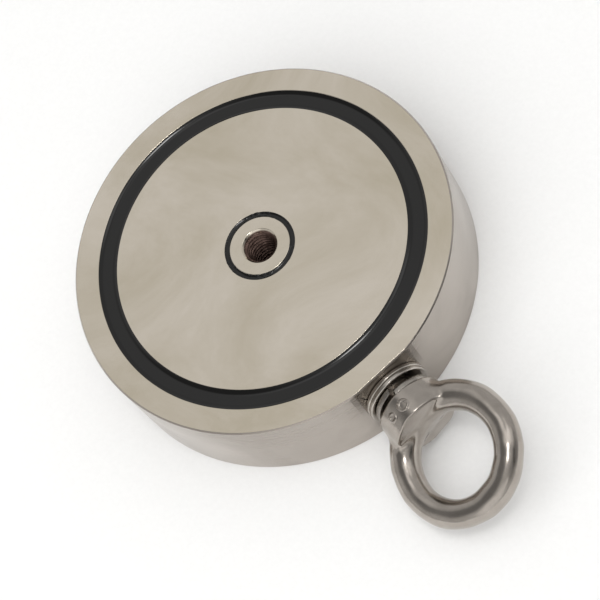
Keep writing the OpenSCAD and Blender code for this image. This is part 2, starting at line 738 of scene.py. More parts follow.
@dataclass(frozen=True)
class NickelPlate:
    """Bright nickel plate: a mirror with faint clouds, smudges and polishing marks."""

    name: str
    light: Colour = (0.735, 0.67, 0.58)
    dark: Colour = (0.60, 0.54, 0.43)
    gloss: float = 0.08
    smudge: float = 0.17

    def lay(self, desk: Desk) -> tuple[bpy.types.NodeSocket, ...]:
        """Lays out the polished finish.

        Args:
            desk: where the nodes go.

        Returns:
            Its colour, roughness and normal.
        """
        clouds = desk.noise(19, detail=7, rough=0.62, twist=0.8)
        share = desk.spread(clouds, 0.0, 1.0, start=0.36, end=0.64)
        colour = desk.blend(share, self.light, self.dark)
        wiped = desk.noise(90, detail=5, rough=0.6, twist=1.5, at=desk.stretched(1.0, 0.35, 1.0))
        rough = desk.spread(wiped, self.gloss, self.smudge, start=0.35, end=0.7)
        hairs = desk.noise(60, at=desk.stretched(1.0, 45.0, 1.0))
        swell = desk.bump(desk.noise(38, detail=1), depth=0.4 * MM, strength=0.10)
        normal = desk.bump(hairs, depth=0.01 * MM, strength=0.06, under=swell)
        return colour, rough, normal

    def make(self) -> bpy.types.Material:
        """Makes the material.

        Returns:
            The material.
        """
        desk = Desk(self.name)
        colour, rough, normal = self.lay(desk)
        desk.set(Base_Color=colour, Roughness=rough, Normal=normal, Metallic=1.0)
        return desk.material


@dataclass(frozen=True)
class TurnedNickel(NickelPlate):
    """Nickel plate with polished faces and a finely turned, satin side; its seat has painted shade,
    darker towards the top, where the washers and the eye bolt stand.
    """

    side_from: float = 57.5 * MM
    seat_from: float = 56.8 * MM
    # painted shade: the seat's darkening grows from mid-height up to this height
    seat_shade_top: float = 9.0 * MM
    side_light: Colour = (0.53, 0.485, 0.44)
    side_dark: Colour = (0.375, 0.335, 0.30)
    # painted shade: the dark colour painted on the seat's upper part, next to the washers and the eye
    # bolt
    seat_shade_colour: Colour = (0.27, 0.24, 0.21)

    def make(self) -> bpy.types.Material:
        """Makes the material.

        Returns:
            The material.
        """
        desk = Desk(self.name)
        colour, rough, normal = self.lay(desk)
        wall = desk.sum("GREATER_THAN", desk.radius(), self.side_from)
        seat = desk.sum("GREATER_THAN", desk.part("X"), self.seat_from)
        side = desk.sum("MAXIMUM", wall, seat)
        patches = desk.noise(34, detail=3, twist=0.6)
        side_colour = desk.blend(
            desk.spread(patches, 0.0, 1.0), self.side_light, self.side_dark
        )
        # painted shade: the seat is darkened towards its top, next to the washers and the eye bolt
        height = desk.spread(desk.part("Z"), 0.0, 1.0, start=0.0, end=self.seat_shade_top)
        side_colour = desk.blend(desk.sum("MULTIPLY", seat, height), side_colour, self.seat_shade_colour)
        rings = desk.noise(3.0, detail=3, rough=0.6, at=desk.stretched(3.0, 3.0, 900.0))
        side_rough = desk.sum("ADD", desk.spread(patches, 0.16, 0.26), desk.spread(rings, 0.0, 0.06))
        swell = desk.bump(desk.noise(55), depth=0.4 * MM, strength=0.16)
        side_normal = desk.bump(rings, depth=0.02 * MM, strength=0.10, under=swell)
        desk.set(
            Base_Color=desk.blend(side, colour, side_colour),
            Roughness=desk.blend(side, rough, side_rough, Mixed.VALUE),
            Normal=desk.blend(side, normal, side_normal, Mixed.VECTOR),
            Metallic=1.0,
        )
        return desk.material


@dataclass(frozen=True)
class TappedNickel(NickelPlate):
    """Nickel plate with an unplated, oiled brown thread inside the hole, its colours darkened with
    painted shade of the deep hole.
    """

    thread_to: float = 4.9 * MM
    thread_fade: float = 0.3 * MM
    # painted shade: both thread colours are darkened for the shade deep inside the hole, over the
    # thread's own brown tone
    bare: Colour = (0.20, 0.135, 0.115)
    oily_and_shade: Colour = (0.09, 0.055, 0.045)

    def make(self) -> bpy.types.Material:
        """Makes the material.

        Returns:
            The material.
        """
        desk = Desk(self.name)
        colour, rough, normal = self.lay(desk)
        fade_end = self.thread_to + self.thread_fade
        inside = desk.spread(desk.radius(), 1.0, 0.0, start=self.thread_to, end=fade_end)
        grime = desk.noise(700, detail=4, rough=0.65)
        # painted shade: the thread in the hole gets the darkened colours, over its own brown tone
        thread = desk.blend(desk.spread(grime, 0.0, 1.0), self.bare, self.oily_and_shade)
        desk.set(
            Base_Color=desk.blend(inside, colour, thread),
            Roughness=desk.blend(inside, rough, desk.spread(grime, 0.28, 0.5), Mixed.VALUE),
            Normal=normal,
            Metallic=1.0,
        )
        return desk.material


@dataclass(frozen=True)
class PouredEpoxy:
    """Black potting epoxy, poured and left to level."""

    name: str
    gloss: float = 0.06
    dull: float = 0.14
    black: Colour = (0.003, 0.0028, 0.0026)
    speck: Colour = (0.016, 0.015, 0.014)

    def make(self) -> bpy.types.Material:
        """Makes the material.

        Returns:
            The material.
        """
        desk = Desk(self.name)
        drift = desk.noise(120, detail=4, rough=0.55, twist=0.5)
        dust = desk.noise(2600, rough=0.7)
        specks = desk.spread(dust, 0.0, 1.0, start=0.70, end=0.76)
        colour = desk.blend(specks, self.black, self.speck)
        rough = desk.sum(
            "ADD", desk.spread(drift, self.gloss, self.dull), desk.sum("MULTIPLY", specks, 0.2)
        )
        swell = desk.bump(drift, depth=0.1 * MM, strength=0.20)
        normal = desk.bump(dust, depth=0.01 * MM, strength=0.10, under=swell)
        desk.set(Base_Color=colour, Roughness=rough, Normal=normal, IOR=1.48)
        return desk.material


@dataclass(frozen=True)
class TumbledStainless:
    """Forged stainless steel, tumbled until its skin is satin."""

    name: str
    light: Colour = (0.46, 0.42, 0.38)
    dark: Colour = (0.37, 0.335, 0.30)
    gloss: float = 0.11
    dull: float = 0.21

    def make(self) -> bpy.types.Material:
        """Makes the material.

        Returns:
            The material.
        """
        desk = Desk(self.name)
        skin = desk.noise(150, detail=4, rough=0.6, twist=0.4)
        pits = desk.noise(1500, detail=3, rough=0.6)
        colour = desk.blend(desk.spread(skin, 0.0, 1.0), self.light, self.dark)
        rough = desk.sum("ADD", desk.spread(skin, self.gloss, self.dull), desk.spread(pits, 0.0, 0.06))
        swell = desk.bump(skin, depth=0.22 * MM, strength=0.22)
        normal = desk.bump(pits, depth=0.03 * MM, strength=0.10, under=swell)
        desk.set(Base_Color=colour, Roughness=rough, Normal=normal, Metallic=1.0)
        return desk.material


@dataclass(frozen=True)
class RolledSteel(TumbledStainless):
    """Rolled and stamped washer steel, brighter than the eye bolt."""

    light: Colour = (0.60, 0.56, 0.51)
    dark: Colour = (0.40, 0.37, 0.335)
    gloss: float = 0.12
    dull: float = 0.22


@dataclass(frozen=True)
class SpringSteel(TumbledStainless):
    """Spring steel, darker than the washers beside it."""

    light: Colour = (0.44, 0.41, 0.37)
    dark: Colour = (0.25, 0.23, 0.21)
    gloss: float = 0.18
    dull: float = 0.32


@dataclass(frozen=True)
class SinteredPlating:
    """Dull grey plating over a sintered magnet."""

    name: str
    light: Colour = (0.52, 0.51, 0.50)
    dark: Colour = (0.40, 0.39, 0.38)

    def make(self) -> bpy.types.Material:
        """Makes the material.

        Returns:
            The material.
        """
        desk = Desk(self.name)
        grain = desk.noise(1800, detail=3, rough=0.6)
        colour = desk.blend(desk.spread(grain, 0.0, 1.0), self.light, self.dark)
        desk.set(
            Base_Color=colour,
            Roughness=desk.spread(grain, 0.3, 0.45),
            Normal=desk.bump(grain, depth=0.03 * MM, strength=0.2),
            Metallic=1.0,
        )
        return desk.material


@dataclass(frozen=True)
class CuredAdhesive:
    """A cured, slightly yellow adhesive film."""

    name: str
    light: Colour = (0.55, 0.48, 0.30)
    dark: Colour = (0.42, 0.36, 0.22)

    def make(self) -> bpy.types.Material:
        """Makes the material.

        Returns:
            The material.
        """
        desk = Desk(self.name)
        flow = desk.noise(300, detail=3, rough=0.55, twist=0.6)
        colour = desk.blend(desk.spread(flow, 0.0, 1.0), self.light, self.dark)
        desk.set(
            Base_Color=colour,
            Roughness=desk.spread(flow, 0.3, 0.5),
            Normal=desk.bump(flow, depth=0.05 * MM, strength=0.3),
        )
        return desk.material


@dataclass(frozen=True)
class StudioPaper:
    """Plain pale paper for the floor."""

    name: str = "studio_paper"
    light: Colour = (0.88, 0.88, 0.875)
    dark: Colour = (0.86, 0.86, 0.855)

    def make(self) -> bpy.types.Material:
        """Makes the material.

        Returns:
            The material.
        """
        desk = Desk(self.name)
        fibre = desk.noise(900)
        colour = desk.blend(desk.spread(fibre, 0.0, 1.0), self.light, self.dark)
        desk.set(Base_Color=colour, Roughness=0.85, Specular_IOR_Level=0.1)
        return desk.material


# ---------------------------------------------------------------- pieces


def settle(
    piece: bpy.types.Object,
    material: bpy.types.Material,
    body: Body,
    slot: Slot,
    nodes: Sequence[str],
) -> None:
    """Dresses a piece and ties it to the frame.

    Args:
        piece: the piece.
        material: its finish.
        body: the body it rides on.
        slot: the record's slot for its finish. Not used.
        nodes: the CAD nodes it stands for.
    """
    piece.data.materials.append(material)
    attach(piece, body.value)
    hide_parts(*nodes)
    LOG.info("%s: %d faces on body %s", piece.name, len(piece.data.polygons), body.value)


def along_bolt(distance: float, height: float) -> np.ndarray:
    """Gives the placement that lays local Z along the eye bolt.

    Args:
        distance: how far out from the casing's axis.
        height: height of the eye bolt's axis.

    Returns:
        A 4 by 4 matrix, in which local -X points straight up.
    """
    place = np.eye(4)
    place[:3, :3] = [[0, 0, 1], [0, 1, 0], [-1, 0, 0]]
    place[:3, 3] = [distance, 0, height]
    return place


@dataclass(frozen=True)
class Thread:
    """A metric thread, as a radius that depends on angle and height."""

    crest: float
    root: float
    pitch: float = 1.5 * MM
    crest_share: float = 0.14
    root_share: float = 0.24

    def radius(self, angle: np.ndarray, height: np.ndarray) -> np.ndarray:
        """Radius of a right-hand thread.

        Args:
            angle: angle about the thread's axis.
            height: height along the axis.

        Returns:
            The radius, from root to crest.
        """
        phase = np.mod(height / self.pitch - angle / math.tau, 1.0)
        away = np.abs(phase - 0.5) * 2
        slope = (away - self.crest_share) / (1 - self.crest_share - self.root_share)
        return self.crest + (self.root - self.crest) * np.clip(slope, 0.0, 1.0)


@dataclass
class CasingLathe(Lathe):
    """A lathe whose outermost wall is cut by the flat seat of the eye bolt."""

    outer: float
    seat: float
    wall_row: int
    seat_angle: float
    cut_depth: float = 1.5 * MM
    least_facing: float = 0.5

    def on_seat(self, column: int) -> bool:
        """Tells whether some faces lie on the flat.

        Args:
            column: the column where they start.

        Returns:
            Whether they do.
        """
        middle = self.angles[column] + 0.5 * self.width(column)
        middle = (middle + math.pi) % math.tau - math.pi
        return abs(middle) < self.seat_angle

    def width(self, column: int) -> float:
        """Angle from a column to the next."""
        following = self.angles[(column + 1) % len(self.angles)]
        return float((following - self.angles[column]) % math.tau)

    def radii(self) -> np.ndarray:
        """Holds the outer wall back by the flat.

        Returns:
            Radius of each profile point at each angle.
        """
        r = super().radii()
        plane = self.seat - (self.outer - r)
        facing = np.cos(self.angles)
        near = facing > self.least_facing
        reach = np.where(near, plane / np.maximum(facing, self.least_facing), np.inf)
        return np.minimum(r, np.where(r > self.outer - self.cut_depth, reach, np.inf))

    def spokes(self, column: int) -> np.ndarray:
        """Finds the directions of the normals, which face along +X on the flat.

        Args:
            column: the column where the faces start.

        Returns:
            The directions at that column and at the next.
        """
        if self.on_seat(column):
            return np.array([[1.0, 0.0], [1.0, 0.0]])
        return super().spokes(column)

    def keeps(self, row: int, column: int) -> bool:
        """Leaves out the wall where the drilled seat goes."""
        return not (row == self.wall_row and self.on_seat(column))


@dataclass
class Casing:
    """The turned pot: rim, web, two pockets, and the drilled seat for the eye bolt."""

    outer: float
    half: float
    pocket: float
    floor: float
    bore: float
    seat: float
    bolt_height: float
    rim_chamfer: float = 0.38 * MM
    rim_fillet: float = 0.1 * MM
    pocket_fillet: float = 0.22 * MM
    hole: float = 5.02 * MM
    hole_chamfer: float = 0.35 * MM
    hole_end: float = 42.0 * MM
    hole_tip: float = 39.5 * MM
    hole_point: float = 0.02
    hole_columns: int = 64
    seat_columns: int = 41
    wall_columns: int = 345

    @classmethod
    def from_frame(cls) -> "Casing":
        """Reads the sizes from the CAD nodes.

        Returns:
            The casing.
        """
        low, high = node_box("casing")
        epoxy_low, epoxy_high = node_box("front_epoxy_ring")
        return cls(
            outer=-low[0],
            half=high[2],
            pocket=epoxy_high[0],
            floor=epoxy_low[2],
            bore=node_box("centre_bush")[1][0],
            seat=high[0],
            bolt_height=mount("eye")["pos_m"][2],
        )

    def columns(self) -> np.ndarray:
        """Spaces the lathe's columns, close together on the flat.

        Returns:
            Their angles.
        """
        edge = math.acos(self.seat / self.outer)
        flat = np.linspace(-edge, edge, self.seat_columns)
        rest = np.linspace(edge, math.tau - edge, self.wall_columns)
        return np.concatenate([flat[:-1], rest[:-1]])

    def build(self, finish: NickelPlate) -> bpy.types.Object:
        """Builds and dresses the casing.

        Args:
            finish: its finish.

        Returns:
            The piece.
        """
        corners = [
            Corner(self.bore, -self.floor),
            Corner(self.pocket, -self.floor),
            Corner(self.pocket, -self.half, self.pocket_fillet),
            Corner(self.outer - self.rim_chamfer, -self.half, self.rim_fillet),
            Corner(self.outer, -self.half + self.rim_chamfer, self.rim_fillet),
            Corner(self.outer, self.half - self.rim_chamfer, self.rim_fillet),
            Corner(self.outer - self.rim_chamfer, self.half, self.rim_fillet),
            Corner(self.pocket, self.half, self.pocket_fillet),
            Corner(self.pocket, self.floor),
            Corner(self.bore, self.floor),
        ]
        profile = Profile(corners)
        heights = np.diff(np.append(profile.points[:, 1], profile.points[0, 1]))
        wall_row = int(np.argmax(heights))
        lathe = CasingLathe(
            profile,
            self.columns(),
            outer=self.outer,
            seat=self.seat,
            wall_row=wall_row,
            seat_angle=math.acos(self.seat / self.outer),
        )
        skin = lathe.turn()
        self._drill(skin, lathe)
        piece = skin.to_piece("casing_shell")
        settle(piece, finish.make(), Body.MAGNET, Slot.CASING, ["casing"])
        return piece

    def _drill(self, skin: Skin, lathe: CasingLathe) -> None:
        """Closes the flat around the side hole and sinks the hole.

        Args:
            skin: the casing's skin so far.
            lathe: the lathe that turned it.
        """
        columns = len(lathe.angles)
        last = [j for j in range(columns) if lathe.on_seat(j)][-1]
        low_row = [lathe.wall_row * columns + j for j in range(last + 2)]
        top_row = [k + columns for k in reversed(low_row)]
        outline = low_row + top_row
        around = np.arange(self.hole_columns) * math.tau / self.hole_columns
        profile = [
            (self.hole + self.hole_chamfer, self.seat),
            (self.hole, self.seat - self.hole_chamfer),
            (self.hole, self.hole_end),
            (self.hole * self.hole_point, self.hole_tip),
        ]
        # outward and along-the-hole parts of the normals on the chamfer, the bore and the drill's cone
        slopes = [(-0.7, 0.7), (-1.0, 0.0), (-0.5, 0.85)]
        first = skin.count
        for radius, x in profile:
            ring = np.stack(
                [
                    np.full_like(around, x),
                    radius * np.cos(around),
                    self.bolt_height + radius * np.sin(around),
                ],
                axis=1,
            )
            skin.add_points(ring)
        count = len(around)
        outward = np.array([1.0, 0.0, 0.0])
        self._zip(skin, outline, list(range(first, first + count)), outward)
        spoke = np.stack([np.zeros(count), np.cos(around), np.sin(around)], axis=1)
        for i, (radial, axial) in enumerate(slopes):
            for j in range(count):
                j2 = (j + 1) % count
                a, b = first + i * count, first + (i + 1) * count
                n1 = spoke[j] * radial + outward * axial
                n2 = spoke[j2] * radial + outward * axial
                skin.add_face((a + j, a + j2, b + j2, b + j), np.array([n1, n2, n2, n1]))
        tip = first + len(slopes) * count
        skin.add_face(range(tip, tip + count), np.tile(outward, (count, 1)))

    def _zip(
        self, skin: Skin, outline: Sequence[int], hole: Sequence[int], normal: np.ndarray
    ) -> None:
        """Fills a flat ring between an outline and a round hole with triangles.

        Args:
            skin: the skin that holds the points.
            outline: the outline's points, anticlockwise from outside.
            hole: the hole's points, anticlockwise from outside.
            normal: the flat's normal.
        """
        points = np.vstack(skin.points)

        def bearing(index: int) -> float:
            """Angle of a point about the hole's centre."""
            y, z = points[index][1], points[index][2] - self.bolt_height
            return math.atan2(z, y) % math.tau

        def ordered(loop: Sequence[int]) -> list[int]:
            """The loop, starting at its smallest bearing."""
            start = min(range(len(loop)), key=lambda k: bearing(loop[k]))
            return list(loop[start:]) + list(loop[:start])

        far, near = ordered(outline), ordered(hole)
        far_turn = [bearing(k) for k in far] + [math.tau + bearing(far[0])]
        near_turn = [bearing(k) for k in near] + [math.tau + bearing(near[0])]
        normals = np.tile(normal, (3, 1))
        i = j = 0
        while i < len(far) or j < len(near):
            take_far = j >= len(near) or (i < len(far) and far_turn[i + 1] < near_turn[j + 1])
            here, there = far[i % len(far)], near[j % len(near)]
            if take_far:
                i += 1
                skin.add_face((here, far[i % len(far)], there), normals)
            else:
                j += 1
                skin.add_face((here, near[j % len(near)], there), normals)


@dataclass
class CentreBush:
    """The threaded bush in the middle, countersunk at both ends."""

    outer: float
    half: float
    hole: float
    sink_radius: float = 5.5 * MM
    fillet: float = 0.18 * MM
    thread_depth: float = 0.75 * MM
    columns: int = 120

    @classmethod
    def from_frame(cls) -> "CentreBush":
        """Reads the sizes from the CAD node and its mount.

        Returns:
            The bush.
        """
        high = node_box("centre_bush")[1]
        hole = mount("centre_thread")["dims"]["r_mm"] * MM
        return cls(outer=high[0], half=high[2], hole=hole)

    def build(self, finish: NickelPlate) -> bpy.types.Object:
        """Builds and dresses the bush.

        Args:
            finish: its finish.

        Returns:
            The piece.
        """
        angle = np.arange(self.columns) * math.tau / self.columns
        rows: list[tuple[np.ndarray, float]] = []
        edge = self.fillet * (1 - math.sqrt(0.5))
        support = 0.05 * MM
        rim = [
            (self.outer, self.half - self.fillet - support),
            (self.outer, self.half - self.fillet),
            (self.outer - edge, self.half - edge),
            (self.outer - self.fillet, self.half),
            (self.outer - self.fillet - support, self.half),
            (self.sink_radius + support, self.half),
        ]
        for radius, height in rim:
            rows.append((np.full_like(angle, radius), height))
        thread = Thread(crest=self.hole, root=self.hole + self.thread_depth)
        count = int(round(2 * self.half / (thread.pitch / ROWS_PER_PITCH)))
        for height in np.linspace(self.half, -self.half, count + 1):
            cone = self.sink_radius - (self.half - abs(height))
            turned = thread.radius(angle, np.full_like(angle, height))
            rows.append((np.maximum(turned, cone), float(height)))
        for radius, height in reversed(rim):
            rows.append((np.full_like(angle, radius), -height))
        grid = np.stack(
            [
                np.stack([r * np.cos(angle), r * np.sin(angle), np.full_like(angle, z)], axis=-1)
                for r, z in rows
            ]
        )
        skin = Skin()
        skin.add_grid(grid, round_rows=True, round_columns=True)
        piece = skin.to_piece("centre_bush_threaded", math.radians(75))
        settle(piece, finish.make(), Body.MAGNET, Slot.BUSH, ["centre_bush"])
        return piece


@dataclass
class PolePlate:
    """The polished disc in one face."""

    face: Face
    outer: float
    inner: float
    low: float
    high: float
    edge: float = 0.1 * MM
    hole_edge: float = 0.06 * MM
    columns: int = 360

    @classmethod
    def from_frame(cls, face: Face) -> "PolePlate":
        """Reads the sizes from the CAD node.

        Args:
            face: the face that the plate is in.

        Returns:
            The plate.
        """
        low, high = node_box("front_pole_plate")
        return cls(face, outer=high[0], inner=PLATE_HOLE, low=low[2], high=high[2])

    def build(self, finish: NickelPlate) -> bpy.types.Object:
        """Builds and dresses the plate.

        Args:
            finish: its finish.

        Returns:
            The piece.
        """
        corners = [
            Corner(self.inner, self.low),
            Corner(self.outer, self.low),
            Corner(self.outer, self.high, self.edge),
            Corner(self.inner, self.high, self.hole_edge),
        ]
        skin = Lathe.even(corners, self.columns).turn().moved(self.face.place())
        node = f"{self.face.prefix}_pole_plate"
        piece = skin.to_piece(f"{node}_polished")
        settle(piece, finish.make(), Body.MAGNET, Slot.PLATE, [node])
        return piece


@dataclass
class PouredRing:
    """A ring of potting epoxy, with a meniscus at its walls and a hand-poured edge."""

    face: Face
    node: str
    outer: float
    inner: float
    low_outer: float
    low_inner: float
    level: float
    face_height: float
    step_height: float
    floor: float
    creep: float
    reach: float
    smear: float
    seed: int
    columns: int = 720
    strands: int = 28
    pull: float = 0.92
    pull_swing: float = 0.06
    swell: float = 0.03 * MM
    lap_from: float = 0.5
    lap_fade: float = 0.02 * MM
    under_face: float = 0.01 * MM
    over_face: float = 0.03 * MM

    @classmethod
    def around_plate(cls, face: Face) -> "PouredRing":
        """Sets up the ring between the rim and the pole plate.

        Args:
            face: the face that the ring is in.

        Returns:
            The ring.
        """
        sag = 0.12 * MM
        low, high = node_box("front_epoxy_ring")
        plate_low, plate_high = node_box("front_pole_plate")
        return cls(
            face, "epoxy_ring", outer=high[0], inner=plate_high[0], low_outer=high[0],
            low_inner=node_box("front_magnet")[1][0], level=high[2] - sag,
            face_height=plate_high[2], step_height=plate_low[2], floor=low[2],
            creep=0.60 * MM, reach=1.7 * MM, smear=0.0, seed=11 + face.value,
        )

    @classmethod
    def around_bush(cls, face: Face) -> "PouredRing":
        """Sets up the ring between the pole plate and the bush.

        Args:
            face: the face that the ring is in.

        Returns:
            The ring.
        """
        low, high = node_box("front_hub_epoxy")
        plate_low, plate_high = node_box("front_pole_plate")
        return cls(
            face, "hub_epoxy", outer=PLATE_HOLE, inner=node_box("centre_bush")[1][0],
            low_outer=high[0], low_inner=node_box("centre_bush")[1][0], level=high[2],
            face_height=plate_high[2], step_height=plate_low[2], floor=low[2],
            creep=0.27 * MM, reach=0.7 * MM, smear=0.08 * MM, seed=37 + face.value,
            columns=360, strands=14,
        )

    def _top(self, angle: np.ndarray) -> np.ndarray:
        """Shapes the free surface.

        Args:
            angle: the columns' angles.

        Returns:
            Its points, from the inner edge to the outer, as rows by columns by 3.
        """
        share = 0.5 - 0.5 * np.cos(np.linspace(0, math.pi, self.strands))
        rows = []
        width = self.outer - self.inner
        for s in share:
            inner_creep = max(1 - s * width / self.reach, 0.0) ** 2
            outer_creep = max(1 - (1 - s) * width / self.reach, 0.0) ** 2
            inner_pull = self.pull + self.pull_swing * wander(angle, self.seed + 1, (3, 7, 19))
            outer_pull = self.pull + self.pull_swing * wander(angle, self.seed + 2, (2, 9, 23))
            swell = self.swell * wander(angle + s, self.seed + 3, (2, 5, 8)) * math.sin(math.pi * s)
            z = self.level + swell + self.creep * (inner_creep * inner_pull + outer_creep * outer_pull)
            inner_lap = self._lap(angle, self.seed + 4, (2, 5, 11, 29)) * inner_creep
            outer_lap = self._lap(angle, self.seed + 5, (3, 6, 17, 37)) * outer_creep
            r = self.inner + s * width - inner_lap + outer_lap
            lap = np.clip((inner_lap + outer_lap) / self.lap_fade, 0, 1)
            z = np.minimum(z, self.face_height - self.under_face) * (1 - lap)
            z = z + (self.face_height + self.over_face) * lap
            rows.append(np.stack([r * np.cos(angle), r * np.sin(angle), z], axis=-1))
        return np.stack(rows)

    def _lap(self, angle: np.ndarray, seed: int, waves: Sequence[int]) -> np.ndarray:
        """How far the epoxy was smeared over an edge, here and there around it."""
        return np.maximum(wander(angle, seed, waves) - self.lap_from, 0) * self.smear

    def build(self, finish: PouredEpoxy) -> bpy.types.Object:
        """Builds and dresses the ring.

        Args:
            finish: its finish.

        Returns:
            The piece.
        """
        angle = np.arange(self.columns) * math.tau / self.columns
        under = [
            (self.inner, self.step_height),
            (self.low_inner, self.step_height),
            (self.low_inner, self.floor),
            (self.low_outer, self.floor),
            (self.low_outer, self.step_height),
            (self.outer, self.step_height),
        ]
        walls = [under[0]]
        for spot in under[1:]:
            if math.dist(spot, walls[-1]) > 0.01 * MM:
                walls.append(spot)
        below = np.stack(
            [
                np.stack([r * np.cos(angle), r * np.sin(angle), np.full_like(angle, z)], axis=-1)
                for r, z in walls
            ]
        )
        top = self._top(angle)[::-1]
        skin = Skin()
        skin.add_grid(np.concatenate([below, top]), round_rows=True, round_columns=True)
        node = f"{self.face.prefix}_{self.node}"
        piece = skin.moved(self.face.place()).to_piece(f"{node}_poured", math.radians(60))
        settle(piece, finish.make(), Body.MAGNET, Slot.EPOXY, [node])
        return piece


@dataclass
class Washers:
    """The two flat washers and the split spring washer under the eye bolt's collar."""

    flat_outer: float
    flat_low: float
    flat_thick: float
    spring_outer: float
    spring_low: float
    spring_high: float
    height: float
    flat_hole: float = 5.25 * MM
    flat_fillet: float = 0.42 * MM
    punched_fillet: float = 0.12 * MM
    broken_fillet: float = 0.25 * MM
    flat_columns: int = 160
    spring_hole: float = 5.5 * MM
    spring_inner_fillet: float = 0.3 * MM
    spring_outer_fillet: float = 0.45 * MM
    spring_columns: int = 161
    wire: float = 2.1 * MM
    wire_taper: float = 0.12 * MM
    gap: float = 1.1 * MM
    split_turn: float = math.radians(9)
    split_slant: float = 0.10

    @classmethod
    def from_frame(cls) -> "Washers":
        """Reads the sizes from the CAD nodes.

        Returns:
            The washers.
        """
        flat_low, flat_high = node_box("inner_washer")
        spring_low, spring_high = node_box("spring_washer")
        return cls(
            flat_outer=float(flat_high[1]),
            flat_low=float(flat_low[0]),
            flat_thick=float(flat_high[0] - flat_low[0]),
            spring_outer=float(spring_high[1] - spring_low[1]) / 2,
            spring_low=float(spring_low[0]),
            spring_high=float(spring_high[0]),
            height=mount("eye")["pos_m"][2],
        )

    def build(self, flat_finish: TumbledStainless, spring_finish: TumbledStainless) -> None:
        """Builds and dresses the three washers.

        Args:
            flat_finish: finish of the two flat washers.
            spring_finish: finish of the spring washer.
        """
        steel = flat_finish.make()
        for place, node in enumerate(("inner_washer", "outer_washer")):
            settle(self._flat(place, node), steel, Body.WASHERS, Slot.WASHER, [node])
        settle(self._spring(), spring_finish.make(), Body.WASHERS, Slot.WASHER, ["spring_washer"])

    def _flat(self, place: int, node: str) -> bpy.types.Object:
        """Builds one flat washer, rounded where the punch pressed it.

        Args:
            place: 0 for the washer on the seat, 1 for the one on top of it.
            node: name of its CAD node.

        Returns:
            The piece.
        """
        corners = [
            Corner(self.flat_hole, 0.0, self.punched_fillet),
            Corner(self.flat_outer, 0.0, self.flat_fillet),
            Corner(self.flat_outer, self.flat_thick, self.flat_fillet),
            Corner(self.flat_hole, self.flat_thick, self.broken_fillet),
        ]
        skin = Lathe.even(corners, self.flat_columns).turn()
        low = self.flat_low + place * self.flat_thick
        return skin.moved(along_bolt(low, self.height)).to_piece(f"{node}_stamped")

    def _spring(self) -> bpy.types.Object:
        """Builds the spring washer as one open turn of a right-hand helix.

        Returns:
            The piece.
        """
        lift = self.spring_high - self.spring_low - self.wire
        profile = Profile(
            [
                Corner(self.spring_hole, 0.0, self.spring_inner_fillet),
                Corner(self.spring_outer, self.wire_taper, self.spring_outer_fillet),
                Corner(self.spring_outer, self.wire - self.wire_taper, self.spring_outer_fillet),
                Corner(self.spring_hole, self.wire, self.spring_inner_fillet),
            ],
            steps=3,
        )
        columns = self.spring_columns
        margin = self.gap / 2 / self.spring_outer
        turn = np.linspace(margin, math.tau - margin, columns)
        share = turn / math.tau
        section = profile.points
        rows = []
        for radius, z in section:
            slant = self.split_slant * (z / self.wire - 0.5)
            angle = math.pi + turn + slant + self.split_turn
            rise = lift * share
            rows.append(np.stack([radius * np.cos(angle), radius * np.sin(angle), z + rise], axis=-1))
        grid = np.stack(rows)
        skin = Skin()
        first = skin.add_grid(grid, round_rows=True, round_columns=False)
        count = len(section)
        skin.add_face([first + i * columns for i in range(count)])
        skin.add_face([first + i * columns + columns - 1 for i in reversed(range(count))])
        return skin.moved(along_bolt(self.spring_low, self.height)).to_piece(
            "spring_washer_coiled", math.radians(50)
        )


